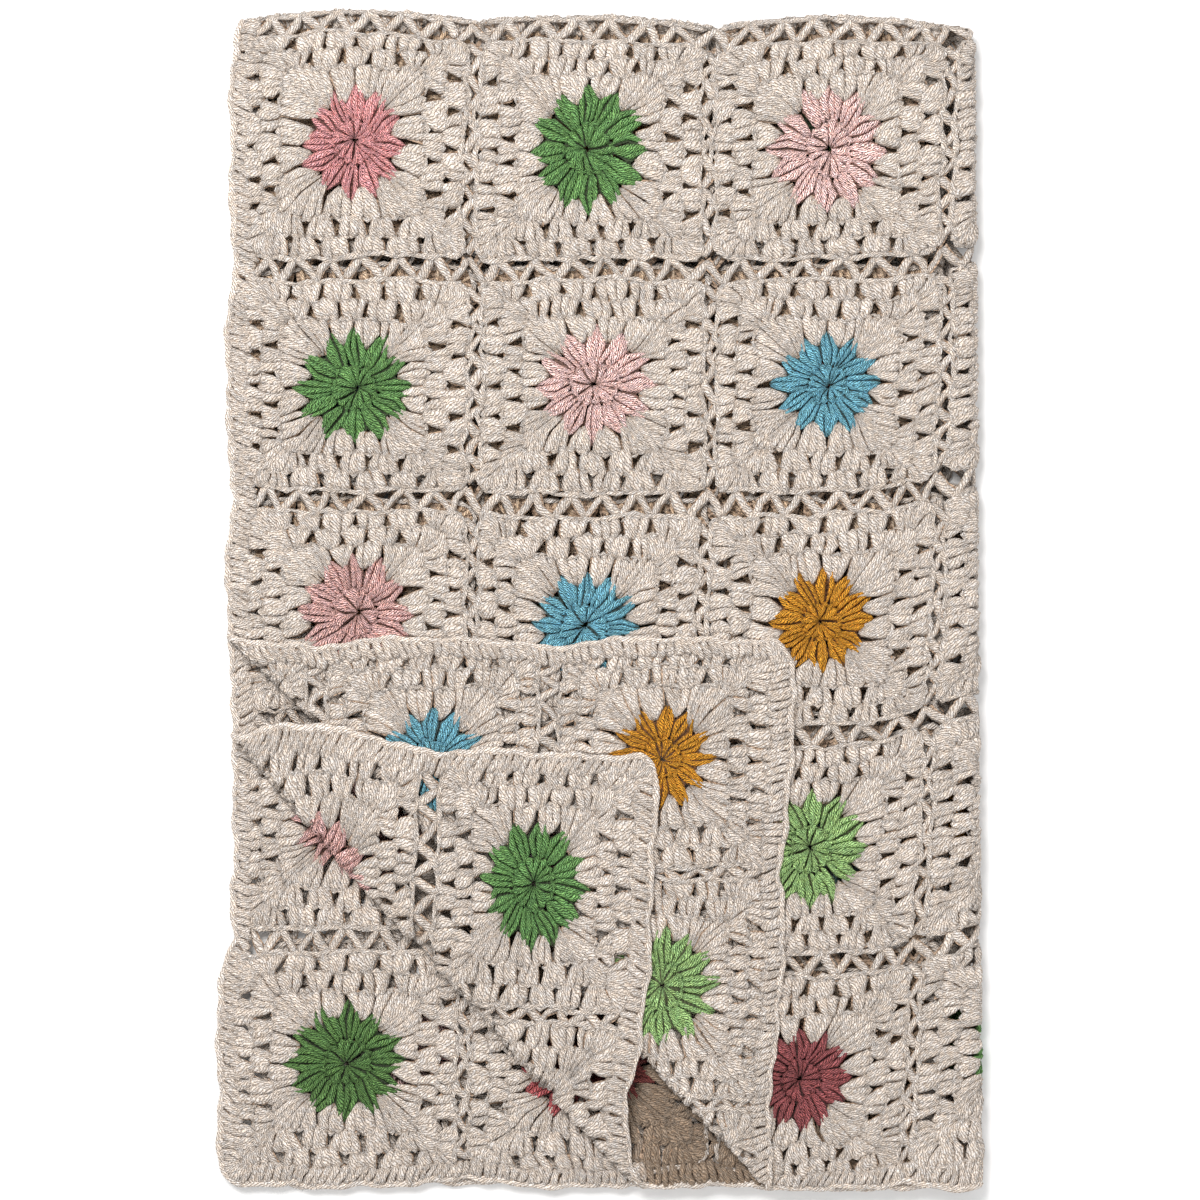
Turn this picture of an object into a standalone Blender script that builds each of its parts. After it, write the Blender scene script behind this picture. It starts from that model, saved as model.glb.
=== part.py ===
"""Crochet throw of 60 joined granny squares, folded in quarters, with two of its corners turned back.

The throw is laid out flat as one slab with its open gaps, then every point of the slab is folded.
Flat coordinates are u across the six columns, v up the ten rows and w through the cloth, in metres.
"""
import bpy
import bmesh
import numpy as np
from mathutils import Vector
from mathutils.geometry import delaunay_2d_cdt

# Flat throw
COLUMNS = 6
ROWS = 10
PITCH = 0.160            # centre to centre of two squares
SQUARE_HALF = 0.073      # half of one square, so a join strip is 14 mm wide
EDGE = 0.085             # centre of an outer square to the outer edge of the border
WIDTH = (COLUMNS - 1) * PITCH + 2 * EDGE
HEIGHT = (ROWS - 1) * PITCH + 2 * EDGE
CORNER = 0.017           # corner radius
THICK = 0.0050           # cloth thickness in the middle of a square
JOIN_THIN = 0.74         # share of that thickness on a join

# Stack
LAYER = 0.0065           # layer to layer
BEND = LAYER / 2         # bend radius of every simple fold
LIFT = 1.5 * LAYER + THICK / 2   # height of the stack's middle plane

# Sizes of the folded throw, in steps of 0.68 mm, counted from its top left
STEP = 0.00068
ORIGIN_X, ORIGIN_Y = 599.766, 601.544
LEFT_UPPER, LEFT_THIRD, LEFT_BOTTOM = 228.0, 230.0, 240.0
FOLD_OUTER, FOLD_INNER = 961.6, 940.4
TOP_AXIS = 38.0

# Turned corners: fold line normal (from the corner), its distance, sideways slip, climb over the other flap
TURNS = {
    "upper": {"normal": (0.7071, 0.7071), "distance": 0.2793, "slip": 0.0, "climb": 0.0},
    "second": {"normal": (0.7538, 0.6572), "distance": 0.2152, "slip": 0.19, "climb": 2 * LAYER},
}
CLIMB_FROM, CLIMB_TO = 0.003, 0.036

# Gaps
GAP_BASE, GAP_DEEP = 0.0105, 0.0080
GAPS = {"between_rows": (-0.052, 0.0, 0.052), "between_columns": (-0.040, 0.040)}
CROSSING_HALF = 0.0060


def ramp(x, start, end):
    """Smooth step from 0 at start to 1 at end."""
    t = np.clip((x - start) / (end - start), 0.0, 1.0)
    return t * t * (3.0 - 2.0 * t)


def in_cell(x, count):
    """Position inside its square: -1 and 1 on the joins, 0 at the centre."""
    k = np.clip(np.round((x - EDGE) / PITCH), 0, count - 1)
    return (x - EDGE - k * PITCH) / (PITCH / 2)


def between_centres(x, count):
    """In_cell, but 0 outside the outermost centres, where there is no join."""
    inside = (x > EDGE) & (x < EDGE + (count - 1) * PITCH)
    return np.where(inside, in_cell(x, count), 0.0)


def thin(u, v, w):
    """Cloth thins towards the joins; the face that rests below stays plane."""
    s = np.maximum(np.abs(in_cell(u, COLUMNS)), np.abs(in_cell(v, ROWS)))
    share = 1.0 - (1.0 - JOIN_THIN) * ramp(s, 0.60, 0.92)
    resting = ramp(u, 0.49, 0.53) * (1.0 - ramp(v, 0.77, 0.80))
    outer = share + (1.0 - share) * resting
    return np.where(w > 0, w * outer, w * share)


def draw_in(u, v):
    """Border pulled in where a join meets it."""
    along_v = between_centres(v, ROWS) ** 4
    along_u = between_centres(u, COLUMNS) ** 4
    near = lambda x: np.clip(1.0 - x / 0.07, 0.0, 1.0) ** 2
    new_u = u + 0.0065 * along_v * (near(u) - near(WIDTH - u))
    new_v = v + 0.0050 * along_u * (near(v) - near(HEIGHT - v))
    return new_u, new_v


def turn_back(a, b, q, turn):
    """Turn the corner at (0, 0) over its fold line: half circle of radius BEND, then back over the cloth.

    a and b run from the corner along its two edges and q is the height on the side it turns to.
    """
    nx, ny = turn["normal"]
    along = -ny * a + nx * b
    beyond = turn["distance"] - (nx * a + ny * b)
    angle = np.clip(beyond / BEND, 0.0, np.pi)
    past = np.maximum(beyond - np.pi * BEND, 0.0)
    reach = np.where(beyond > 0, (BEND - q) * np.sin(angle) - past, beyond)
    height = BEND - (BEND - q) * np.cos(angle) + turn["climb"] * ramp(past, CLIMB_FROM, CLIMB_TO)
    along = along + turn["slip"] * np.maximum(beyond, 0.0)
    across = turn["distance"] - reach
    return nx * across - ny * along, ny * across + nx * along, height


def path(v):
    """Fold data at v: turn of the top fold, distance from the free edge, and the sideways path of the layer."""
    m = v - HEIGHT / 2
    turn = np.clip((m + np.pi * BEND / 2) / BEND, 0.0, np.pi)
    free = HEIGHT / 2 - np.maximum(np.abs(m), np.pi * BEND / 2)
    low = 1.0 - free / 0.80
    side = np.cos(turn)
    upper = (1 + side) / 2
    join = upper * (958 - 18 * low - 35 * low * low) + (1 - upper) * 948
    start = LEFT_UPPER + 3 * np.sin(9 * free)
    end = upper * (LEFT_BOTTOM + 22 * low * low) + (1 - upper) * (LEFT_THIRD - 16 * ramp(low, 0.70, 0.88))
    centre = upper * FOLD_OUTER + (1 - upper) * FOLD_INNER + 5 - 10 * free
    radius = LAYER + BEND * side
    return {
        "turn": turn, "free": free, "side": side, "radius": radius,
        "left": start * STEP, "centre": centre * STEP,
        "join": (join - start) * STEP,
        "straight": (centre - start) * STEP,
        "length": (2 * centre - start - end) * STEP + np.pi * radius,
    }


def fold_line(v, share):
    """u at which the right fold has gone through this share of its half circle."""
    p = path(v)
    s = p["straight"] + share * np.pi * p["radius"]
    first = s / p["join"] * WIDTH / 2
    second = WIDTH / 2 * (1 + (s - p["join"]) / (p["length"] - p["join"]))
    return np.where(s < p["join"], first, second)


def fold(u, v, w):
    """Flat point (u, v, w) to its place in the folded throw."""
    w = thin(u, v, w)
    u, v = draw_in(u, v)
    a, b, q = turn_back(u, v, w, TURNS["upper"])
    corner = v < 0.45
    u1, v1, w1 = np.where(corner, a, u), np.where(corner, b, v), np.where(corner, q, w)
    a, b, q = turn_back(u, HEIGHT - v, -w, TURNS["second"])
    corner = v > HEIGHT - 0.45
    u1, v1, w1 = np.where(corner, a, u1), np.where(corner, HEIGHT - b, v1), np.where(corner, -q, w1)

    p = path(v1)
    free = p["free"]
    n = (BEND + w1) * p["side"]
    upper = 1201.6 - 1454.7 * free - 9 * np.clip(1 - free / 0.17, 0, 1) ** 2
    lower = 1184.0 - 1432.7 * free - 12 * np.sin(np.pi * free / 0.80) + 7 * np.clip(1 - free / 0.09, 0, 1) ** 2
    blend = ramp(u1, 0.40, 0.57)
    y = (ORIGIN_Y - (upper * (1 - blend) + lower * blend)) * STEP + (BEND + w1) * np.sin(p["turn"])
    raised = 0.0082 - 0.0041 * ramp(np.minimum(u1, WIDTH - u1), 0.16, 0.24)
    y = y + (raised + 0.0075 * (1 - np.abs(in_cell(u1, COLUMNS)) ** 1.6)) * ramp(free, 0.69, 0.79)

    s = np.where(u1 < WIDTH / 2, u1 * p["join"], (WIDTH - u1) * p["join"] + (u1 - WIDTH / 2) * p["length"])
    s = s / (WIDTH / 2)
    angle = np.clip((s - p["straight"]) / p["radius"], 0.0, np.pi)
    run = np.where(s < p["straight"], s, p["straight"])
    back = np.maximum(s - p["straight"] - np.pi * p["radius"], 0.0)
    x = p["left"] - ORIGIN_X * STEP + run - back + (LAYER + n) * np.sin(angle)
    z = LIFT + (LAYER + n) * np.cos(angle)
    z = z * (1 + 0.05 * np.sin(17 * x + 1.2) * np.sin(14 * y + 0.6))
    return x, y, z


# Lines and points of the flat throw
JOIN_U = [EDGE + (k + 0.5) * PITCH for k in range(COLUMNS - 1)]
JOIN_V = [EDGE + (k + 0.5) * PITCH for k in range(ROWS - 1)]
CENTRE_U = [EDGE + k * PITCH for k in range(COLUMNS)]
CENTRE_V = [EDGE + k * PITCH for k in range(ROWS)]
points, lines, shapes = [], [], []


def add_line(line):
    first = len(points)
    points.extend(Vector(p) for p in line)
    lines.extend((first + k, first + k + 1) for k in range(len(line) - 1))


def add_shape(corners):
    """A closed shape, counter-clockwise: the first is the throw's outline and the others are its gaps."""
    (ax, ay), (bx, by), (cx, cy) = corners[:3]
    if (bx - ax) * (cy - ay) < (by - ay) * (cx - ax):
        corners = corners[::-1]
    first = len(points)
    points.extend(Vector(p) for p in corners)
    shapes.append(list(range(first, first + len(corners))))


def stations(joins, centres, spread=(-0.025, 0.0, 0.025)):
    """Places along an edge, close together where a join draws the edge in."""
    return sorted(centres + [j + d for j in joins for d in spread])


def outline():
    """Rounded rectangle, counter-clockwise from the right end of the top right corner."""
    across, up = stations(JOIN_U, CENTRE_U), stations(JOIN_V, CENTRE_V)
    sides = (
        (WIDTH - CORNER, HEIGHT - CORNER, [(u, HEIGHT) for u in reversed(across)]),
        (CORNER, HEIGHT - CORNER, [(0.0, v) for v in reversed(up)]),
        (CORNER, CORNER, [(u, 0.0) for u in across]),
        (WIDTH - CORNER, CORNER, [(WIDTH, v) for v in up]),
    )
    line = []
    for quarter, (cu, cv, side) in enumerate(sides):
        for k in range(4):
            a = np.pi / 2 * (quarter + k / 3)
            line.append((cu + CORNER * np.cos(a), cv + CORNER * np.sin(a)))
        line.extend(side)
    return line


def on_hard_fold(u, v):
    """True on the joins that run along the inside of a fold, which stay closed."""
    return abs(v - HEIGHT / 2) < 0.01 or (abs(u - WIDTH / 2) < 0.01 and v > HEIGHT / 2)


def gap_triangle(u, v, along_u, sign):
    """Triangular gap of a join: its base lies along the join and its tip points to the side of sign."""
    tip, base = sign * GAP_DEEP / 2, GAP_BASE / 2
    corners = [(-base, -tip), (base, -tip), (0.0, tip)]
    return [(u + a, v + b) if along_u else (u + b, v + a) for a, b in corners]


add_shape(outline())

# Squares: outline, raised middle and centre
for cu in CENTRE_U:
    for cv in CENTRE_V:
        points.append(Vector((cu, cv)))
        for half in (SQUARE_HALF, 0.047):
            points.extend(Vector((cu + i * half, cv + j * half)) for i in (-1, 1) for j in (-1, 1))

# Top fold: lines across the throw through its half circle
bend_v = [HEIGHT / 2 + (share - 0.5) * np.pi * BEND for share in np.linspace(0, 1, 6)]
for v in bend_v:
    add_line([(u, v) for u in [0.0] + stations(JOIN_U, CENTRE_U) + [WIDTH]])

# Right fold: lines up the throw through its half circle
low_v = [0.0] + [EDGE + k * PITCH / 2 for k in range(9)]
for share in np.linspace(0, 1, 6):
    line_v = np.array(low_v + bend_v + [HEIGHT - v for v in reversed(low_v)])
    add_line(list(zip(fold_line(line_v, share).tolist(), line_v.tolist())))

# Turned corners: lines through each half circle, and up the climb of the second one
for name, turn in TURNS.items():
    nx, ny = turn["normal"]
    offsets = list(np.linspace(0, np.pi * BEND, 5))
    if turn["climb"]:
        offsets += [np.pi * BEND + c for c in np.linspace(CLIMB_FROM, CLIMB_TO, 5)]
    for offset in offsets:
        c = turn["distance"] - offset
        ends = [(0.0, c / ny), (c / nx, 0.0)]
        add_line([(a, HEIGHT - b) for a, b in ends] if name == "second" else ends)

# Gaps: triangles point up and down by turns along each join, and four squares meet round a diamond
for j, v in enumerate(JOIN_V):
    for i, u in enumerate(CENTRE_U):
        if not on_hard_fold(u, v):
            for k, du in enumerate(GAPS["between_rows"]):
                add_shape(gap_triangle(u + du, v, True, (-1) ** (i + j + k)))
    for u in JOIN_U:
        if not on_hard_fold(u, v):
            h = CROSSING_HALF
            add_shape([(u - h, v), (u, v - h), (u + h, v), (u, v + h)])
for i, u in enumerate(JOIN_U):
    for j, v in enumerate(CENTRE_V):
        if not on_hard_fold(u, v):
            for k, dv in enumerate(GAPS["between_columns"]):
                add_shape(gap_triangle(u, v + dv, False, (-1) ** (i + j + k)))

# Flat slab: triangles inside the outline and outside the gaps, drawn out to the cloth's thickness
verts, _, faces, _, _, sources = delaunay_2d_cdt(points, lines, shapes, 0, 1e-6)
cloth = [face for face, source in zip(faces, sources) if list(source) == [0]]
bm = bmesh.new()
flat = [bm.verts.new((p.x, p.y, -THICK / 2)) for p in verts]
for face in cloth:
    bm.faces.new([flat[k] for k in face])
bmesh.ops.delete(bm, geom=[p for p in bm.verts if not p.link_faces], context="VERTS")
top = bmesh.ops.extrude_face_region(bm, geom=bm.faces[:], use_keep_orig=True)["geom"]
bmesh.ops.translate(bm, verts=[g for g in top if isinstance(g, bmesh.types.BMVert)], vec=(0, 0, THICK))
bmesh.ops.recalc_face_normals(bm, faces=bm.faces[:])

# Folded throw: every point of the slab moves to its place
slab = np.array([p.co[:] for p in bm.verts])
x, y, z = fold(slab[:, 0], slab[:, 1], slab[:, 2])
for vert, co in zip(bm.verts, zip(x.tolist(), y.tolist(), z.tolist())):
    vert.co = co
bmesh.ops.triangulate(bm, faces=[f for f in bm.faces if len(f.verts) > 3])
bmesh.ops.recalc_face_normals(bm, faces=bm.faces[:])

for old in list(bpy.data.objects):
    bpy.data.objects.remove(old, do_unlink=True)
mesh = bpy.data.meshes.new("crochet_throw")
bm.to_mesh(mesh)
bm.free()
mesh.shade_smooth()
yarn = bpy.data.materials.new("cream_cotton")
yarn.use_nodes = True
surface = yarn.node_tree.nodes["Principled BSDF"]
surface.inputs["Base Color"].default_value = (0.66, 0.58, 0.49, 1)
surface.inputs["Roughness"].default_value = 0.95
mesh.materials.append(yarn)
throw = bpy.data.objects.new("crochet_throw", mesh)
bpy.context.scene.collection.objects.link(throw)
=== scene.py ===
"""Looks of the crochet throw: yarn stitches worked flat, square by square, and folded as the throw lies."""

import bpy
import numpy as np
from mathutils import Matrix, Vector


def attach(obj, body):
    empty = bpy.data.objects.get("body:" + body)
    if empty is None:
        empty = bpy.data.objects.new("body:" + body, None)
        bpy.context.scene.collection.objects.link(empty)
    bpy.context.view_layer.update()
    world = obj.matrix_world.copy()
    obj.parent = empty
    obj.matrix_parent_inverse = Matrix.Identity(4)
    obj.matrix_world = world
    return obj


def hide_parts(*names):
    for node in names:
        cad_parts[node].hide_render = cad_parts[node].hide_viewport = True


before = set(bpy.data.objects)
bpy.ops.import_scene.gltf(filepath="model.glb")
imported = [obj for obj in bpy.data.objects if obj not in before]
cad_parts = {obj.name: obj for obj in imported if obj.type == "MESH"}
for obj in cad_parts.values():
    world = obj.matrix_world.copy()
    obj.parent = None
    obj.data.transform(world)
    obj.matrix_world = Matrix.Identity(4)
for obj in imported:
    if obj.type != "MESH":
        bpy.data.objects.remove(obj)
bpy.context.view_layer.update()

# Lay of the throw
# Ten rows of six squares, folded in half along row five, then in half again beside column three. The upper
# layer's corner is turned back, and the second layer's corner is turned back over it.
PITCH = 0.160                      # square to square
EDGE = 0.085                       # outer star centre to the edge of the border
COLUMNS, ROWS = 6, 10
WIDTH = (COLUMNS - 1) * PITCH + 2 * EDGE
HEIGHT = (ROWS - 1) * PITCH + 2 * EDGE
LAYER = 0.0065                     # one layer of crochet with its air
BEND = LAYER / 2
LIFT = 1.5 * LAYER + 0.0025        # middle of the stack above the floor
REACH = 0.80                       # from the free edge up to the top fold
TURNED = 0.45                      # the turned corners lie within this of the free edge
STEP = 0.00068                     # small unit of the lay's sizes
MIDDLE = (599.766, 601.544)        # the folded throw's centre, in steps from the upper left of the view
UPPER_TURN = {"normal": (0.7071, 0.7071), "distance": 0.2793, "slip": 0.0, "climb": 0.0}
SECOND_TURN = {"normal": (0.7538, 0.6572), "distance": 0.2152, "slip": 0.19, "climb": 2 * LAYER}


def ramp(x, start, end):
    """Smooth step: 0 up to start, 1 from end, three t squared less two t cubed between."""
    t = np.clip((x - start) / (end - start), 0.0, 1.0)
    return t * t * (3.0 - 2.0 * t)


def fading(x, width):
    """1 at zero, falling in a straight line to 0 at this width."""
    return np.clip(1 - x / width, 0, 1)


def in_cell(x, count):
    """Place inside a square along one edge: -1 and 1 on its joins and 0 at its star."""
    k = np.clip(np.round((x - EDGE) / PITCH), 0, count - 1)
    return (x - EDGE - k * PITCH) / (PITCH / 2)


def draw_in(u, v):
    """Border pulled in by 6.5 and 5 mm at each join: the fourth power of the place in the square, times a
    square that fades over 70 mm."""
    along_v = np.where((v > EDGE) & (v < HEIGHT - EDGE), in_cell(v, ROWS), 0.0) ** 4
    along_u = np.where((u > EDGE) & (u < WIDTH - EDGE), in_cell(u, COLUMNS), 0.0) ** 4

    def near(x):
        return fading(x, 0.07) ** 2

    return (u + 0.0065 * along_v * (near(u) - near(WIDTH - u)),
            v + 0.0050 * along_u * (near(v) - near(HEIGHT - v)))


def beyond_line(turn, a, b):
    """How far the place (a, b), counted from the corner, lies beyond the line along which it is turned: the
    line's distance from the corner less the place's own, measured square to the line."""
    nx, ny = turn["normal"]
    return turn["distance"] - (nx * a + ny * b)


def turn_back(a, b, q, turn):
    """Corner at (0, 0) turned over its line: a half circle of radius BEND, then flat back over the cloth."""
    nx, ny = turn["normal"]
    along = nx * b - ny * a
    beyond = beyond_line(turn, a, b)
    angle = np.clip(beyond / BEND, 0.0, np.pi)
    past = np.maximum(beyond - np.pi * BEND, 0.0)
    reach = np.where(beyond > 0, (BEND - q) * np.sin(angle) - past, beyond)
    height = BEND - (BEND - q) * np.cos(angle) + turn["climb"] * ramp(past, 0.003, 0.036)
    along = along + turn["slip"] * np.maximum(beyond, 0.0)
    across = turn["distance"] - reach
    return nx * across - ny * along, ny * across + nx * along, height


def lay_path(v):
    """What the layers do at height v of the open throw: how far they have turned round the top fold, their
    distance from the free edge, and the path across from the side edge, round the right fold and back."""
    m = v - HEIGHT / 2
    turn = np.clip((m + np.pi * BEND / 2) / BEND, 0.0, np.pi)
    free = HEIGHT / 2 - np.maximum(np.abs(m), np.pi * BEND / 2)
    low = 1.0 - free / REACH           # 0 at the top fold, 1 at the free edge
    side = np.cos(turn)
    outer = (1 + side) / 2             # 1 on the top and the bottom layer, 0 on the two between them
    # In steps across the view: the join beside column three, both side edges and the right fold's centre
    join = outer * (958 - 18 * low - 35 * low * low) + (1 - outer) * 948
    start = 228 + 3 * np.sin(9 * free)
    end = outer * (240 + 22 * low * low) + (1 - outer) * (230 - 16 * ramp(low, 0.70, 0.88))
    centre = outer * 961.6 + (1 - outer) * 940.4 + 5 - 10 * free
    radius = LAYER + BEND * side
    return {
        "turn": turn, "free": free, "side": side, "radius": radius,
        "left": start * STEP,
        "join": (join - start) * STEP,
        "straight": (centre - start) * STEP,
        "length": (2 * centre - start - end) * STEP + np.pi * radius,
    }


def fold(u, v, w):
    """Place of a flat point (u across, v up, w through the cloth): the corners are turned back, then the
    throw goes round the top fold, and then round the right fold."""
    u, v = draw_in(u, v)
    a, b, q = turn_back(u, v, w, UPPER_TURN)
    corner = v < TURNED
    u1, v1, w1 = np.where(corner, a, u), np.where(corner, b, v), np.where(corner, q, w)
    a, b, q = turn_back(u, HEIGHT - v, -w, SECOND_TURN)
    corner = v > HEIGHT - TURNED
    u1, v1, w1 = np.where(corner, a, u1), np.where(corner, HEIGHT - b, v1), np.where(corner, -q, w1)

    # Down the view in steps, for the two upper layers and for the two lower ones: a straight run from the
    # free edge, which bows near its end. The top edge stands out in the middle of each square.
    p = lay_path(v1)
    free = p["free"]
    n = (BEND + w1) * p["side"]
    upper = 1201.6 - 1454.7 * free - 9 * fading(free, 0.17) ** 2
    lower = 1184.0 - 1432.7 * free - 12 * np.sin(np.pi * free / REACH) + 7 * fading(free, 0.09) ** 2
    blend = ramp(u1, 0.40, 0.57)
    y = (MIDDLE[1] - (upper * (1 - blend) + lower * blend)) * STEP + (BEND + w1) * np.sin(p["turn"])
    raised = 0.0082 - 0.0041 * ramp(np.minimum(u1, WIDTH - u1), 0.16, 0.24)
    y = y + (raised + 0.0075 * (1 - np.abs(in_cell(u1, COLUMNS)) ** 1.6)) * ramp(free, 0.69, 0.79)

    # Across: s is the length of cloth from the side edge. It runs straight, round the right fold and back.
    s = np.where(u1 < WIDTH / 2, u1 * p["join"], (WIDTH - u1) * p["join"] + (u1 - WIDTH / 2) * p["length"])
    s = s / (WIDTH / 2)
    angle = np.clip((s - p["straight"]) / p["radius"], 0.0, np.pi)
    run = np.where(s < p["straight"], s, p["straight"])
    back = np.maximum(s - p["straight"] - np.pi * p["radius"], 0.0)
    x = p["left"] - MIDDLE[0] * STEP + run - back + (LAYER + n) * np.sin(angle)
    z = LIFT + (LAYER + n) * np.cos(angle)
    return x, y, z * (1 + 0.05 * np.sin(17 * x + 1.2) * np.sin(14 * y + 0.6))


def face_up(u, v):
    """1 where the throw's right side lies open to view, -1 where its wrong side does, 0 where it is hidden:
    sums of smooth steps along the folds."""
    front = (1 - ramp(u, 0.47, 0.53)) * (1 - ramp(v, 0.79, 0.82))
    front = front * (1 - 2 * ramp(beyond_line(UPPER_TURN, u, v), -0.004, 0.012))
    second = beyond_line(SECOND_TURN, u, HEIGHT - v)
    strip = ramp(second, -0.090, -0.070) * (1 - ramp(second, -0.006, 0.0))
    third = ramp(u, WIDTH - 0.42, WIDTH - 0.36) * ramp(v, HEIGHT - 0.46, HEIGHT - 0.40)
    return front + ramp(second, 0.0, 0.012) - strip + third


def puff(u, v):
    """Squares stand up 4 mm between their joins, which lie 1.2 mm low: (1 - x squared)(1 - y squared) to the
    power 0.6, towards the side in view."""
    sx, sy = np.clip(in_cell(u, COLUMNS), -1, 1), np.clip(in_cell(v, ROWS), -1, 1)
    return (0.0040 * (1 - sx ** 2) ** 0.6 * (1 - sy ** 2) ** 0.6 - 0.0012) * face_up(u, v)


# How far each square is drawn off its even place, in steps: pairs, sideways and upwards, for three columns
# of each row from the bottom edge up, then three squares of the other half, and the whole bottom layer. The
# hidden squares are drawn off by more, so the joins of the layers don't lie on top of one another.
PULLS = ((-4, 7, -8, -1, 0, -5), (-2, 4, -4, 0, -3, -4), (4, 0, -2, -13, -1, -9), (2, -8, 4, -5, -3, -5),
         (-3, -3, -7, -7, -8, -7), (5, -8, 5, -8, 5, -8), (5, -8, 5, -8, 5, -8), (6, -8, 6, -8, 6, -8),
         (9, -9, 0, 0, 0, 0), (-2, -6, 6, -14, 0, 0))
OTHER_HALF_PULLS = {(8, 5): (5, -2), (9, 5): (-1, 5), (9, 4): (9, 9)}
BOTTOM_LAYER_PULL = (-6, 9)
# Waves as size, how fast the angle grows sideways and upwards, and the angle at the corner
WAVES_SIDEWAYS = ((0.0010, 61, 37, 1), (0.0009, 143, -119, 0), (0.0007, 97, 291, 0))
WAVES_UPWARDS = ((0.0010, 43, -67, 2), (0.0009, 131, 127, 0), (0.0007, 277, -89, 0))


def pulled(u, v):
    """The pull at each place, blended from star to star by smooth steps, and faded out over the last 30 mm
    towards the edges."""
    table = np.zeros((ROWS, COLUMNS, 2))
    table[:, :3] = np.array(PULLS).reshape(ROWS, 3, 2)
    table[:ROWS // 2, COLUMNS // 2:] = BOTTOM_LAYER_PULL
    for (row, column), pull in OTHER_HALF_PULLS.items():
        table[row, column] = pull
    a, b = np.clip((u - EDGE) / PITCH, 0, COLUMNS - 1.001), np.clip((v - EDGE) / PITCH, 0, ROWS - 1.001)
    i, j = a.astype(int), b.astype(int)
    s, t = ramp(a - i, 0.2, 0.8)[..., None], ramp(b - j, 0.2, 0.8)[..., None]
    below = table[j, i] * (1 - s) + table[j, i + 1] * s
    above = table[j + 1, i] * (1 - s) + table[j + 1, i + 1] * s
    fade = ramp(np.minimum(u, WIDTH - u), 0, 0.03) * ramp(np.minimum(v, HEIGHT - v), 0, 0.03)
    return (below * (1 - t) + above * t) * fade[..., None] * STEP


def bell(x, centre, width):
    """Bell curve: e to the power of minus the squared distance from its centre, counted in widths."""
    return np.exp(-((x - centre) / width) ** 2)


def waved(x, u, v, waves):
    """x with a sine of u and v added for each wave."""
    for size, per_u, per_v, start in waves:
        x = x + size * np.sin(per_u * u + per_v * v + start)
    return x


def uneven(u, v):
    """Hand-worked unevenness: the squares' pull, the second turned corner's edges swung out and in by bell
    curves, the join at the top fold 6 mm in front of it, and waves that push stitches up to 2.6 mm."""
    pull = pulled(u, v)
    u, v = u + pull[..., 0], v + pull[..., 1]
    from_top = HEIGHT - v
    swung_out = 0.011 * bell(from_top, 0.255, 0.055) * fading(u, 0.12)
    swung_in = 0.012 * bell(u, 0.225, 0.040) * fading(from_top, 0.12)
    u = u - swung_out
    v = v - swung_in - 0.006 * bell(v, HEIGHT / 2, 0.030)
    return waved(u, u, v, WAVES_SIDEWAYS), waved(v, u, v, WAVES_UPWARDS)


# Pattern of one square
# A square is worked from its star outwards in five rounds of posts, mostly in clusters of three. All its
# posts are rows of one table, in steps from the star's centre, and these are the table's columns.
FOOT, WAIST, HEAD = slice(0, 2), slice(2, 4), slice(4, 6)
POINTS, POINTS_X, POINTS_Y = slice(0, 6), slice(0, 6, 2), slice(1, 6, 2)
WIDTHS, HEAD_WIDTH = slice(6, 9), slice(8, 9)
ROUND_AT, CROWN_AT, COLUMN_AT, ROW_AT = 9, 10, 11, 12
STAR_ROUNDS = 2                    # rounds one and two are the star's, three to five are cream


def cluster(foot_a, foot_b, head_a, head_b, count, number, belly):
    """Posts of one cluster, their feet spread evenly from foot_a to foot_b and their heads from head_a to
    head_b, and wider by belly on both sides halfway up. Neighbours overlap by about a quarter of their
    width, a star's by a tenth. A row holds foot, middle, head, three half widths, round and crown, which is
    1 on the cluster's centre line and falls with the square of the distance from it."""
    plump = 1.06 if number <= STAR_ROUNDS else 1.24
    apart = (count - plump) / max(count - 1, 1)
    share = (0.5 + (np.arange(count) + 0.5 - count / 2) * apart / count)[:, None]
    foot_a, foot_b, head_a, head_b = (np.array(p, float) for p in (foot_a, foot_b, head_a, head_b))
    feet = foot_a + share * (foot_b - foot_a)
    heads = head_a + share * (head_b - head_a)
    across = (foot_b - foot_a + head_b - head_a) / 2
    reach = np.linalg.norm(across)
    middles = (feet + heads) / 2 + (2 * share - 1) * belly * across / reach
    widths = np.array([np.linalg.norm(foot_b - foot_a), reach + 2 * belly, np.linalg.norm(head_b - head_a)])
    half = np.tile(plump * widths / count / 2, (count, 1))
    return np.hstack([feet, middles, heads, half, np.full((count, 1), number), 1 - (2 * share - 1) ** 2])


def turned_round(rows, times):
    """The same posts again at every whole part of a turn."""
    parts = []
    for k in range(times):
        c, s = np.cos(2 * np.pi * k / times), np.sin(2 * np.pi * k / times)
        spin = np.array([[c, s], [-s, c]])
        points = rows[:, POINTS].reshape(-1, 3, 2) @ spin
        parts.append(np.hstack([points.reshape(-1, 6), rows[:, 6:]]))
    return np.vstack(parts)


def mirrored(rows):
    """The same posts on the other side of the square's upright centre line."""
    return rows * np.array([-1, 1, -1, 1, -1, 1, 1, 1, 1, 1, 1])


def polar(radius, degrees):
    """Point at this radius and angle."""
    return radius * np.cos(np.radians(degrees)), radius * np.sin(np.radians(degrees))


def square_side(feet_at, foot_y, spread, head_y, holes, number):
    """One side's clusters of three between its holes, with the half fans of its two corners."""
    rows = []
    for k, x in enumerate(feet_at):
        rows.append(cluster((x - spread, foot_y), (x + spread, foot_y),
                            (holes[k], head_y), (holes[k + 1], head_y), 3, number, 1.3))
    fan = cluster((foot_y - 15, foot_y - 1), (foot_y, foot_y),
                  (holes[-1], head_y), (head_y, head_y), 5, number, 1.0)
    return np.vstack(rows + [fan, mirrored(fan)])


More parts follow.
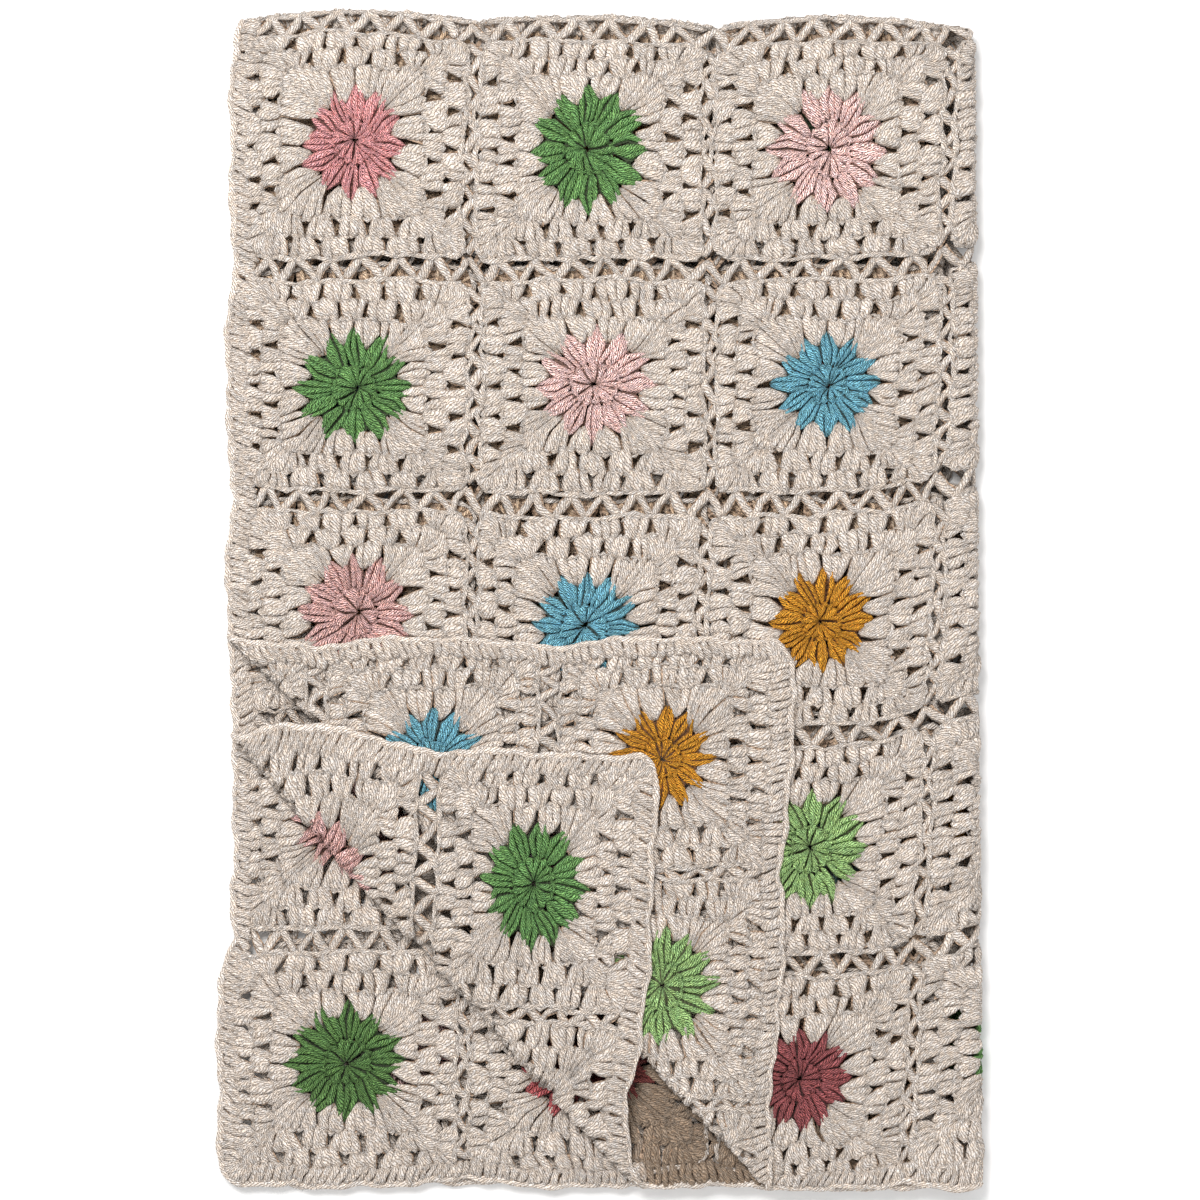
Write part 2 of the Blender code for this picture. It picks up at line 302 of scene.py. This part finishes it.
# The first cream round reaches in between the petals: half of one side, then half of a corner.
tongue = cluster((8.0, 44.5), (15.4, 43), (0.5, 71), (28, 71), 3, 3, 3.1)
corner_tongue = cluster((25, 38), (33, 33), (28, 71), (70, 70), 5, 3, 0.8)
POSTS = np.vstack([
    turned_round(cluster(polar(2.6, 79), polar(2.6, 101), polar(23, 79), polar(23, 101), 1, 1, 0.0), 16),
    turned_round(cluster(polar(21, 80), polar(21, 100), polar(60, 87), polar(60, 93), 3, 2, 7.4), 12),
    turned_round(np.vstack([tongue, mirrored(tongue), corner_tongue, mirrored(corner_tongue)]), 4),
    turned_round(square_side((-28, 0, 28), 67, 8.6, 89.5, (-42, -14, 14, 42), 4), 4),
    turned_round(square_side((-46.5, -15.5, 15.5, 46.5), 86.5, 9.8, 107.5, (-62, -31, 0, 31, 62), 5), 4),
])

# Yarn
# Soft plied cotton: eight plies twisted together, a little fuzz, with painted highlights on the crowns and
# painted shade in the grooves. Every strand carries its own shade as the attribute "shade", and the turn
# about it and the length along it as the UV map "strand".
WARM, COOL = (1.06, 1.00, 0.93, 1), (0.95, 1.00, 1.06, 1)


def yarn_group():
    """Twisted plies: a rounded sine of the turn about the strand and the length along it, made uneven by a
    noise, with fine fibres on it. The grooves between plies get painted shade, darker and browner, and the
    crowns of the plies a painted highlight."""
    group = bpy.data.node_groups.new("plied_yarn", "ShaderNodeTree")
    for name, kind in (("Plies", "Float"), ("Twist", "Float"), ("Colour", "Color"), ("Groove_Shade", "Color"),
                       ("Crown_Highlight", "Float")):
        group.interface.new_socket(name=name, in_out="INPUT", socket_type="NodeSocket" + kind)
    for name, kind in (("Colour", "Color"), ("Height", "Float")):
        group.interface.new_socket(name=name, in_out="OUTPUT", socket_type="NodeSocket" + kind)
    nodes, link = group.nodes, group.links.new

    def feed(socket, value):
        """Links the socket to another node's, or sets it to a plain value."""
        if isinstance(value, bpy.types.NodeSocket):
            link(value, socket)
        else:
            socket.default_value = value

    def math(operation, *values):
        """Operation on one or two numbers."""
        node = nodes.new("ShaderNodeMath")
        node.operation = operation
        for socket, value in zip(node.inputs, values):
            feed(socket, value)
        return node.outputs[0]

    def scaled(value, factor, offset):
        """Value times factor, and offset added."""
        return math("ADD", math("MULTIPLY", value, factor), offset)

    def vector(operation, a, b, socket=1):
        """Operation on a vector and what goes into its second socket."""
        node = nodes.new("ShaderNodeVectorMath")
        node.operation = operation
        feed(node.inputs[0], a)
        feed(node.inputs[socket], b)
        return node.outputs[0]

    def mix(factor, a, b):
        """Colour a at factor 0, b at factor 1."""
        node = nodes.new("ShaderNodeMix")
        node.data_type = "RGBA"
        for name, value in (("Factor", factor), ("A", a), ("B", b)):
            feed(node.inputs[name], value)
        return node.outputs["Result"]

    def noise(scale, detail):
        """Noise with this many grains a metre."""
        node = nodes.new("ShaderNodeTexNoise")
        node.inputs["Scale"].default_value = scale
        node.inputs["Detail"].default_value = detail
        link(place.outputs["Object"], node.inputs["Vector"])
        return node.outputs["Fac"]

    source = nodes.new("NodeGroupInput")
    target = nodes.new("NodeGroupOutput")
    place = nodes.new("ShaderNodeTexCoord")
    strand = nodes.new("ShaderNodeUVMap")
    strand.uv_map = "strand"
    split = nodes.new("ShaderNodeSeparateXYZ")
    link(strand.outputs["UV"], split.inputs[0])
    turn = math("MULTIPLY", split.outputs[0], source.outputs["Plies"])
    phase = math("ADD", turn, math("MULTIPLY", split.outputs[1], source.outputs["Twist"]))
    phase = math("ADD", phase, math("MULTIPLY", noise(420, 2), 1.8))
    ridge = math("POWER", math("ABSOLUTE", math("SINE", math("MULTIPLY", phase, np.pi))), 0.7)
    fibre = noise(900, 3)
    link(math("ADD", ridge, math("MULTIPLY", fibre, 1.5)), target.inputs["Height"])

    # The crowns carry a painted highlight: a little white is added, and their colour is a little warmer or
    # cooler from place to place, and lighter or darker in clouds of 4 mm and in specks of 1 mm. It is mixed
    # with the painted shade of the grooves by the height of the ply and of its fibres.
    tint = mix(scaled(noise(330, 2), 3.0, -1.0), WARM, COOL)
    pale_highlight = vector("ADD", vector("MULTIPLY", source.outputs["Colour"], tint), (0.025, 0.025, 0.025))
    cloud = scaled(noise(240, 2), 0.80, 0.60)
    speckle = scaled(noise(1000, 3), 1.8, 0.10)
    lightness = math("MULTIPLY", math("MULTIPLY", cloud, speckle), source.outputs["Crown_Highlight"])
    crown = vector("SCALE", pale_highlight, lightness, "Scale")
    groove_shade = vector("MULTIPLY", source.outputs["Colour"], source.outputs["Groove_Shade"])
    contrast = math("ADD", math("MULTIPLY", ridge, 1.3), math("MULTIPLY", fibre, 0.9))
    link(mix(math("SUBTRACT", contrast, 0.72), groove_shade, crown), target.inputs["Colour"])
    return group


PLIED_YARN = yarn_group()


def yarn(name, plies, twist, depth, groove_shade, crown, fuzz):
    """Matt yarn with this many plies, turned this many times a metre, in each strand's own colour, which is
    multiplied between the plies by the factor for the grooves, a painted shade, and on them by the factor
    for the crowns, a painted highlight, with this much sheen for its fuzz."""
    material = bpy.data.materials.new(name)
    material.use_nodes = True
    nodes, link = material.node_tree.nodes, material.node_tree.links.new
    surface = nodes["Principled BSDF"]
    surface.inputs["Roughness"].default_value = 0.92
    surface.inputs["Specular IOR Level"].default_value = 0.08
    surface.inputs["Sheen Weight"].default_value = fuzz
    surface.inputs["Sheen Roughness"].default_value = 0.6
    colour = nodes.new("ShaderNodeAttribute")
    colour.attribute_name = "shade"
    plied = nodes.new("ShaderNodeGroup")
    plied.node_tree = PLIED_YARN
    plied.inputs["Plies"].default_value = plies
    plied.inputs["Twist"].default_value = twist
    plied.inputs["Groove_Shade"].default_value = groove_shade + (1,)
    plied.inputs["Crown_Highlight"].default_value = crown
    link(colour.outputs["Color"], plied.inputs["Colour"])
    link(plied.outputs["Colour"], surface.inputs["Base Color"])
    bump = nodes.new("ShaderNodeBump")
    bump.inputs["Strength"].default_value = 1.0
    bump.inputs["Distance"].default_value = depth
    link(plied.outputs["Height"], bump.inputs["Height"])
    link(bump.outputs["Normal"], surface.inputs["Normal"])
    return material


def linear(colour):
    """Screen colour (0 to 255) as linear light."""
    c = np.asarray(colour, float) / 255
    return np.where(c <= 0.04045, c / 12.92, ((c + 0.055) / 1.055) ** 2.4)


CREAM = linear((230, 219, 209))
INSIDE_SHADE_TINT = np.array([1.20, 0.99, 0.76])        # painted shade and warm bounce light: yarn inside the stack, seen through the holes, made browner
SHADE = np.array([0.44, 0.36, 0.28])         # painted shade: yarn in the hollow between the turned corners, made darker and browner
GROUND_SHADE = np.array([0.60, 0.48, 0.38])  # painted shade: the ground behind the stitches, made darker and browner
DYES = {
    "r": (206, 142, 143), "g": (92, 136, 72), "p": (226, 190, 185), "b": (104, 164, 182),
    "d": (202, 160, 155), "m": (196, 134, 10), "l": (142, 176, 110), "k": (142, 70, 72),
    "e": (80, 118, 56), "c": (170, 80, 82),
}
SIZES = {"r": 0.86, "b": 0.91, "m": 0.90, "k": 0.92}     # stars worked tighter than the others
# Star colours, a line for each row from the bottom edge up, a letter for each column
STARS = ("mlkgbp", "brlmgd", "dbmrpg", "gpbdlr", "rgpbme", "pmgldb", "bdrepg", "mgpbrl", "drbmgd", "gcpdce")


# Stitches
# A stitch is a short closed strand with drawn-in ends. Strands are worked flat and then folded with the
# cloth.
def tubes(line, half, tall, colour, sides, rng):
    """Closed tubes along lines (strand, ring, uvw): at each ring an ellipse of this half width across the
    line and this half height through the cloth, then folded. Each tube has its own colour, and its own start
    of the twist."""
    count, rings = half.shape
    run = np.gradient(line[:, :, :2], axis=1)
    run = run / np.maximum(np.linalg.norm(run, axis=2, keepdims=True), 1e-9)
    angle = 2 * np.pi * (np.arange(sides) + 0.5) / sides
    across = half[:, :, None] * np.cos(angle)
    u = line[:, :, None, 0] - across * run[:, :, None, 1]
    v = line[:, :, None, 1] + across * run[:, :, None, 0]
    stand = puff(line[..., 0], line[..., 1])[:, :, None]
    w = line[:, :, None, 2] + tall[:, :, None] * np.sin(angle) + stand
    x, y, z = fold(*uneven(u, v), w)
    co = np.stack([x, y, np.maximum(z, 0.0)], axis=-1).reshape(-1, 3)

    first = (np.arange(count) * rings * sides)[:, None, None]
    ring = (np.arange(rings - 1) * sides)[None, :, None]
    side = np.arange(sides)[None, None, :]
    after = (side + 1) % sides
    quads = np.stack([first + ring + side, first + ring + after, first + ring + sides + after,
                      first + ring + sides + side], axis=-1).reshape(-1, 4)
    foot_cap = first[:, 0] + np.arange(sides)[None, ::-1]
    head_cap = first[:, 0] + (rings - 1) * sides + np.arange(sides)[None, :]
    loops = np.concatenate([quads.ravel(), foot_cap.ravel(), head_cap.ravel()])
    sizes = np.concatenate([np.full(len(quads), 4), np.full(2 * count, sides)])

    step = np.linalg.norm(np.diff(line[:, :, :2], axis=1), axis=2)
    along = np.concatenate([np.zeros((count, 1)), np.cumsum(step, axis=1)], axis=1)
    along = along + rng.random((count, 1)) * 0.01
    turn = rng.random((count, 1, 1)) + side / sides + np.zeros((count, rings - 1, 1))
    low = np.broadcast_to(along[:, :-1, None], turn.shape)
    high = np.broadcast_to(along[:, 1:, None], turn.shape)
    uv = np.stack([turn, low, turn + 1 / sides, low, turn + 1 / sides, high, turn, high], axis=-1)
    uv = np.concatenate([uv.reshape(-1, 2), np.zeros((2 * count * sides, 2))])
    shade = np.repeat(np.hstack([colour, np.ones((count, 1))]), rings * sides, axis=0)
    return co, loops, sizes, uv, shade


def posts(rows, colour, rings, sides, rng, thick=0.0027, above=0.0):
    """Tubes for post rows in metres: a parabola through foot, middle and head gives the line, and another
    the half width. Both ends are drawn in, and a narrow post is thin as well. A cluster's centre stands up
    1.2 mm, and every post by above, towards the side in view."""
    t = 0.5 - 0.5 * np.cos(np.pi * np.linspace(0, 1, rings))
    weight = np.stack([(1 - t) * (1 - 2 * t), 4 * t * (1 - t), t * (2 * t - 1)])
    narrow = 1 - 0.50 * (2 * t - 1) ** 8
    line = np.einsum("kr,nkc->nrc", weight, rows[:, POINTS].reshape(-1, 3, 2))
    line = line + rng.normal(0, 0.0002, line.shape)
    raised = 0.0012 * rows[:, CROWN_AT, None, None] * np.sin(np.pi * t)[None, :, None]
    lift = raised + rng.normal(0, 0.0003, (len(rows), 1, 1)) + above * face_up(line[..., :1], line[..., 1:])
    half = (rows[:, WIDTHS] @ weight) * narrow * (1 + rng.normal(0, 0.05, (len(rows), rings)))
    tall = np.minimum(thick * (1 + rng.normal(0, 0.08, (len(rows), 1))), 1.5 * half + 0.0004) * narrow
    return tubes(np.concatenate([line, lift], axis=-1), half, tall, colour, sides, rng)


def straight(feet, heads, half):
    """Rows of straight single posts of one half width."""
    halves, no_round_or_crown = np.full((len(feet), 3), half), np.zeros((len(feet), 2))
    return np.hstack([feet, (feet + heads) / 2, heads, halves, no_round_or_crown])


def yarn_object(name, co, loops, sizes, uv, shade, material):
    """Smooth mesh from its points, corners, face sizes, corner UVs and point colours, as an object."""
    mesh = bpy.data.meshes.new(name)
    mesh.vertices.add(len(co))
    mesh.vertices.foreach_set("co", co.astype(np.float32).ravel())
    mesh.loops.add(len(loops))
    mesh.loops.foreach_set("vertex_index", loops.astype(np.int32))
    mesh.polygons.add(len(sizes))
    mesh.polygons.foreach_set("loop_start", (np.cumsum(sizes) - sizes).astype(np.int32))
    mesh.polygons.foreach_set("use_smooth", np.ones(len(sizes), bool))
    mesh.update(calc_edges=True)
    mesh.uv_layers.new(name="strand").data.foreach_set("uv", uv.astype(np.float32).ravel())
    colours = mesh.attributes.new("shade", "FLOAT_COLOR", "POINT")
    colours.data.foreach_set("color", shade.astype(np.float32).ravel())
    mesh.materials.append(material)
    piece = bpy.data.objects.new(name, mesh)
    bpy.context.scene.collection.objects.link(piece)
    return piece


def stitch_piece(name, parts, material):
    """One mesh from several lots of tubes, riding on the throw."""
    co, _, sizes, uv, shade = (np.concatenate([p[k] for p in parts]) for k in range(5))
    shift = np.cumsum([0] + [len(p[0]) for p in parts])
    loops = np.concatenate([p[1] + k for p, k in zip(parts, shift)])
    piece = yarn_object(name, co, loops, sizes, uv, shade, material)
    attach(piece, "root")
    return piece


# Squares
# The post table is repeated for all 60 squares, each star turned a little and every post a little uneven, as
# hand work is. Posts in view get more faces than the ones inside the stack, and those on a bend the most.
def all_posts(rng):
    """Post rows of the whole throw in metres, with the square's column and row number added. The cream
    rounds are worked 2.5 % wider and 2.5 % lower than the table, since the joins between rows are wider."""
    column, row = np.meshgrid(np.arange(COLUMNS), np.arange(ROWS))
    column, row = column.ravel(), row.ravel()
    table = np.repeat(POSTS[None], len(column), axis=0)
    table[..., POINTS] += rng.normal(0, [0.7, 0.7, 1.0, 1.0, 0.7, 0.7], table[..., POINTS].shape)
    table[..., WIDTHS] *= 1.0 + rng.normal(0, 0.09, table[..., WIDTHS].shape)
    size = np.array([[SIZES.get(letter, 1.0) for letter in line] for line in STARS])
    size = size[row, column][:, None, None]
    number = table[..., ROUND_AT, None]
    star, first_cream = number <= STAR_ROUNDS, number == STAR_ROUNDS + 1
    table[..., FOOT] *= np.where(star | first_cream, size, 1)
    table[..., WAIST] *= np.where(star, size, np.where(first_cream, (1 + size) / 2, 1))
    table[..., 4:9] *= np.where(star, size, 1)
    table[..., POINTS_X] *= np.where(star, 1, 1.025)
    table[..., POINTS_Y] *= np.where(star, 1, 0.975)
    turn = np.where(star[..., 0], rng.normal(0, 0.07, (len(column), 1)), 0.0)
    c, s = np.cos(turn), np.sin(turn)
    for k in (0, 2, 4):
        x, y = table[..., k].copy(), table[..., k + 1].copy()
        table[..., k], table[..., k + 1] = c * x - s * y, s * x + c * y
    table[..., 0:9] *= STEP
    table[..., POINTS_X] += (EDGE + column * PITCH)[:, None, None]
    table[..., POINTS_Y] += (EDGE + row * PITCH)[:, None, None]
    place = np.stack([np.repeat(column[:, None], len(POSTS), 1), np.repeat(row[:, None], len(POSTS), 1)], -1)
    return np.concatenate([table, place], axis=-1).reshape(-1, ROW_AT + 1)


def detail(u, v):
    """3 on a bend, 2 in view, 1 underneath, 0 inside the stack."""
    bend = np.abs(v - HEIGHT / 2) < 0.022
    bend |= (u > 0.470) & (u < np.where(v < HEIGHT / 2, 0.570, 0.500))
    bend |= (v < TURNED) & (np.abs(beyond_line(UPPER_TURN, u, v) - 0.005) < 0.020)
    second = beyond_line(SECOND_TURN, u, HEIGHT - v)
    bend |= (v > HEIGHT - TURNED) & (second > -0.015) & (second < 0.055)
    view = np.abs(face_up(u, v)) > 0.05
    below = (u > 0.5) & (v < HEIGHT / 2)
    return np.where(bend, 3, np.where(view, 2, np.where(below, 1, 0)))


def layer_of(u, v):
    """0 for the upper layer, then the second, the third and the bottom one."""
    return np.where(u < WIDTH / 2, np.where(v < HEIGHT / 2, 0, 1), np.where(v < HEIGHT / 2, 3, 2))


RINGS_AND_SIDES = ((2, 4), (4, 4), (5, 5), (7, 5))       # of a post, for each grade of detail
LAYERS = ("upper", "second", "third", "bottom")
ROWS_ALL = all_posts(np.random.default_rng(61))
ROUND, LAYER_NUMBER = ROWS_ALL[:, ROUND_AT], layer_of(ROWS_ALL[:, 2], ROWS_ALL[:, 3])
DETAIL = detail(ROWS_ALL[:, 2], ROWS_ALL[:, 3])
# the factors for the grooves paint shade between the plies, the factors for the crowns paint highlights on
# them
CREAM_YARN = yarn("cream_yarn", 8.0, 330.0, 0.0014, (0.72, 0.64, 0.56), 1.16, 0.12)
DYED_YARN = yarn("dyed_yarn", 8.0, 380.0, 0.0018, (0.07, 0.07, 0.045), 2.05, 0.03)


def shaded(rows):
    """Colour factor for post rows: SHADE, a painted shade, on the second layer's strip that lies low between
    the two turned corners, else 1."""
    u, v = rows[:, 2], rows[:, 3]
    second = beyond_line(SECOND_TURN, u, HEIGHT - v)
    strip = ramp(second, -0.090, -0.075) * (1 - ramp(second, -0.004, 0.004))
    strip = strip * ramp(u, 0.08, 0.20) * (v > HEIGHT / 2) * (u < WIDTH / 2)
    return 1 - strip[..., None] * (1 - SHADE)


def head_chains(rows, rng):
    """Rows for the chains that loop over these posts' heads: each a little wider than its head, with its
    ends 2.2 mm behind the head and its middle just past it."""
    run = rows[:, HEAD] - rows[:, FOOT]
    run = run / np.linalg.norm(run, axis=1, keepdims=True)
    aside = np.stack([-run[:, 1], run[:, 0]], 1) * rows[:, HEAD_WIDTH] * 1.1
    top = rows[:, HEAD] + rng.normal(0, 0.0004, (len(rows), 2))
    chain = straight(top - aside - run * 0.0022, top + aside - run * 0.0022, 0.0014)
    chain[:, WAIST] = top + run * 0.0003
    chain[:, 7] = 0.0019
    return chain


def worked(pick, colour, rng):
    """Tubes for the picked posts, and a looped chain over each head in view, except on the star's petals."""
    # posts on the strip in the hollow get the painted shade
    colour = colour * shaded(ROWS_ALL)
    parts = []
    for level, (rings, sides) in enumerate(RINGS_AND_SIDES):
        rows = ROWS_ALL[pick & (DETAIL == level)]
        if not len(rows):
            continue
        shade = colour[pick & (DETAIL == level)] * (1 + rng.normal(0, 0.06, (len(rows), 1)))
        # hidden posts inside the stack get the painted shade and warm bounce light
        if level == 0:
            shade = shade * INSIDE_SHADE_TINT
        parts.append(posts(rows, shade, rings, sides, rng))
        chained = rows[:, ROUND_AT] != STAR_ROUNDS
        if level > 1 and chained.any():
            parts.append(posts(head_chains(rows[chained], rng), shade[chained], 3, 4, rng, 0.0032))
    return parts


# Stars
# Two rounds in one dye: sixteen posts out of a drawn-up ring, then twelve petals of three posts each.
dye = np.array([[linear(DYES[letter]) for letter in line] for line in STARS])
star_colour = dye[ROWS_ALL[:, ROW_AT].astype(int), ROWS_ALL[:, COLUMN_AT].astype(int)]
rng = np.random.default_rng(7)
for number, layer in enumerate(LAYERS):
    pick = (ROUND <= STAR_ROUNDS) & (LAYER_NUMBER == number)
    stitch_piece("stars_" + layer, worked(pick, star_colour, rng), DYED_YARN)

# Cream rounds
# Three rounds of clusters bring the star out to a square, each cluster worked into the gap below it.
cream_colour = np.repeat(CREAM[None], len(ROWS_ALL), axis=0)
for number, layer in enumerate(LAYERS):
    for round_number in (3, 4, 5):
        pick = (ROUND == round_number) & (LAYER_NUMBER == number)
        name = "round_" + str(round_number) + "_" + layer
        stitch_piece(name, worked(pick, cream_colour, rng), CREAM_YARN)

# Joins
# Squares have a chained edge and are joined by a chain that goes to and fro between them, so small triangles
# stay open along every join and a larger gap where four squares meet.
LEG = 0.0115                       # one leg of the to-and-fro chain, along the join


def rounded_line(width, height, radius, count):
    """Rounded rectangle about the origin: points evenly spaced along it, and the inward normals."""
    a, b = width / 2 - radius, height / 2 - radius
    arc = np.radians(np.linspace(0, 90, 13))
    corners = [(a, b, 0), (-a, b, 90), (-a, -b, 180), (a, -b, 270)]
    turn = np.concatenate([arc + np.radians(start) for _, _, start in corners])
    middle = np.repeat(np.array([c[:2] for c in corners], float), len(arc), axis=0)
    out = np.stack([np.cos(turn), np.sin(turn)], 1)
    line = middle + radius * out
    line, out = np.vstack([line, line[:1]]), np.vstack([out, out[:1]])
    far = np.concatenate([[0], np.cumsum(np.linalg.norm(np.diff(line, axis=0), axis=1))])
    at = np.linspace(0, far[-1], count + 1)
    points = np.stack([np.interp(at, far, line[:, k]) for k in (0, 1)], 1)
    normals = np.stack([np.interp(at, far, out[:, k]) for k in (0, 1)], 1)
    return points, -normals / np.linalg.norm(normals, axis=1, keepdims=True)


def ropes(centres, line, half, tall, sides, rng, shade):
    """One closed chain round each centre along the same line, wide and narrow by turns like its loops."""
    path = centres[:, None, :] + line[None]
    path = np.pad(path, ((0, 0), (0, 0), (0, 1)))
    size = path.shape[:2]
    colour = np.repeat(shade[None], size[0], axis=0) * (1 + rng.normal(0, 0.03, (size[0], 1)))
    path[:, 1:-1, :2] += rng.normal(0, (0.0014, 0.0008), (size[0], size[1] - 2, 2))
    loop = np.where(np.arange(size[1]) % 2 == 0, 1.25, 0.75)[None, :]
    return tubes(path, np.full(size, half) * loop, np.full(size, tall) * loop, colour, sides, rng)


def zigzag(start, count, middle, swing, along_u):
    """Feet and heads of one to-and-fro chain, which runs along the join and swings to both sides."""
    at = start + LEG * np.arange(count + 1)
    off = middle + swing * np.where(np.arange(count + 1) % 2 == 0, -1, 1)
    ends = np.stack([at, off] if along_u else [off, at], 1)
    return np.hstack([ends[:-1], ends[1:]])


star_u = EDGE + np.arange(COLUMNS) * PITCH
star_v = EDGE + np.arange(ROWS) * PITCH
join_u, join_v = star_u[:-1] + PITCH / 2, star_v[:-1] + PITCH / 2
legs = [zigzag(0.012, 82, v, 0.0080, True) for v in join_v]
legs += [zigzag(v - 0.069, 12, u, 0.0048, False) for u in join_u for v in star_v]
legs = np.vstack(legs)
legs = straight(legs[:, 0:2], legs[:, 2:4], 0.0031)
legs[:, POINTS] += rng.normal(0, 0.0008, (len(legs), 6))
leg_detail = detail(legs[:, 2], legs[:, 3])
parts = []
for level, (rings, sides) in enumerate(RINGS_AND_SIDES):
    rows = legs[leg_detail == level]
    # legs in the hollow get the painted shade
    shade = CREAM * shaded(rows) * (1 + rng.normal(0, 0.05, (len(rows), 1)))
    parts.append(posts(rows, shade, rings, sides, rng, 0.0019))
centres = np.stack(np.meshgrid(star_u, star_v), -1).reshape(-1, 2)
edge_line, _ = rounded_line(0.1510, 0.1440, 0.006, 72)
parts.append(ropes(centres, edge_line, 0.0022, 0.0024, 4, rng, CREAM))
joins = stitch_piece("joins", parts, CREAM_YARN)

# Border
# One close round of slanting posts along the outer squares, and a rope-like rim with a painted highlight.
POST_FOOT, POST_HEAD, SLANT = 0.0155, 0.0028, 0.0028     # inwards from the outline, and along it
RIM_LOOPS, RIM_HALF, RIM_TALL = 1200, 0.0027, 0.0032
centre = np.array([WIDTH / 2, HEIGHT / 2])
outline, inward = rounded_line(WIDTH, HEIGHT, 0.017, 1060)
outline = outline + centre
onward = np.stack([inward[:, 1], -inward[:, 0]], 1)
feet = outline + inward * POST_FOOT + onward * SLANT
heads = outline + inward * POST_HEAD - onward * SLANT
border = straight(feet[:-1], heads[:-1], 0.0027)
border[:, POINTS] += rng.normal(0, 0.0007, (len(border), 6))
rim, _ = rounded_line(WIDTH - 0.005, HEIGHT - 0.005, 0.0145, RIM_LOOPS)
rim_path = np.pad(rim + centre, ((0, 0), (0, 1)))[None]
rim_size = np.ones((1, RIM_LOOPS + 1))
# border posts in the hollow get the painted shade
shade = CREAM * shaded(border) * (1 + rng.normal(0, 0.06, (len(border), 1)))
border_parts = [
    posts(border, shade, 5, 5, rng, 0.0031, 0.0014),
    # painted highlight: the rim is 1.15 times as light as the cream
    tubes(rim_path, RIM_HALF * rim_size, RIM_TALL * rim_size, CREAM[None] * 1.15, 6, rng),
]
edging = stitch_piece("border", border_parts, CREAM_YARN)

# Ground
# The web that the stitches make together: a strip behind every post and leg, two faces long, which closes
# the throw into one sheet. The strips behind the stars are wider, and painted darker than their dye, and
# all strips get a painted shade, darker and browner.
strips = np.vstack([ROWS_ALL[:, :COLUMN_AT], legs, border])
strips[:len(ROWS_ALL), WIDTHS] *= np.where(ROUND <= STAR_ROUNDS, 1.35, 1.0)[:, None]
points = strips[:, POINTS].reshape(-1, 3, 2)
run = points[:, 2] - points[:, 0]
side_way = np.stack([-run[:, 1], run[:, 0]], 1) / np.linalg.norm(run, axis=1, keepdims=True)
spread = strips[:, WIDTHS, None, None] * side_way[:, None, None, :]
edges = points[:, :, None, :] + spread * np.array([-1, 1])[None, None, :, None]
x, y, z = fold(*uneven(edges[..., 0], edges[..., 1]), puff(edges[..., 0], edges[..., 1]))
co = np.stack([x, y, z], -1).reshape(-1, 3)
base = (np.arange(len(strips)) * 6)[:, None] + np.arange(2)[None, :] * 2
corners = np.stack([base, base + 2, base + 3, base + 1], -1).ravel()
# painted shade: the ground behind a star is 0.4 of its dye
colour = np.where(ROUND[:, None] <= STAR_ROUNDS, star_colour * 0.4, cream_colour)
colour = np.vstack([colour, np.tile(CREAM, (len(legs) + len(border), 1))]) * GROUND_SHADE
colour = np.repeat(np.hstack([colour, np.ones((len(colour), 1))]), 6, axis=0)
flat_place = edges.reshape(-1, 2)[corners]
ground = yarn_object("ground", co, corners, np.full(2 * len(strips), 4), flat_place, colour, CREAM_YARN)
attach(ground, "root")
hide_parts("crochet_throw")

# Stage
# Pale floor, a large soft lamp from the upper left, a weaker one opposite, and the camera straight above.
floor_mesh = bpy.data.meshes.new("floor")
floor_mesh.from_pydata([(-6, -6, 0), (6, -6, 0), (6, 6, 0), (-6, 6, 0)], [], [(0, 1, 2, 3)])
floor = bpy.data.objects.new("floor", floor_mesh)
bpy.context.scene.collection.objects.link(floor)
floor_paint = bpy.data.materials.new("floor_paint")
floor_paint.use_nodes = True
floor_surface = floor_paint.node_tree.nodes["Principled BSDF"]
floor_surface.inputs["Base Color"].default_value = (0.93, 0.93, 0.93, 1)
floor_surface.inputs["Roughness"].default_value = 0.9
floor_mesh.materials.append(floor_paint)


def lamp(name, place, size, power, colour):
    """Square area lamp that faces the throw's middle."""
    light = bpy.data.lights.new(name, "AREA")
    light.size, light.energy, light.color = size, power, colour
    holder = bpy.data.objects.new(name, light)
    holder.location = place
    holder.rotation_mode = "QUATERNION"
    holder.rotation_quaternion = Vector(-np.array(place)).to_track_quat("-Z", "Y")
    bpy.context.scene.collection.objects.link(holder)


lamp("key", (-0.7, 1.2, 2.4), 1.0, 67, (1.0, 0.99, 0.98))
lamp("fill", (1.6, -1.2, 2.0), 2.0, 14, (0.97, 0.985, 1.0))
world = bpy.data.worlds.new("studio")
world.use_nodes = True
world.node_tree.nodes["Background"].inputs["Color"].default_value = (1, 1, 1, 1)
world.node_tree.nodes["Background"].inputs["Strength"].default_value = 0.65
bpy.context.scene.world = world
VIEW, CAMERA_HEIGHT, SENSOR = 1200, 2.6, 36        # steps across the view, metres, millimetres
camera_data = bpy.data.cameras.new("camera")
camera_data.sensor_width = SENSOR
camera = bpy.data.objects.new("camera", camera_data)
camera.location = ((VIEW / 2 - MIDDLE[0]) * STEP, (MIDDLE[1] - VIEW / 2) * STEP, CAMERA_HEIGHT)
camera_data.lens = SENSOR * (CAMERA_HEIGHT - 0.025) / (VIEW * STEP)
bpy.context.scene.collection.objects.link(camera)
bpy.context.scene.camera = camera
bpy.context.scene.view_settings.view_transform = "Standard"
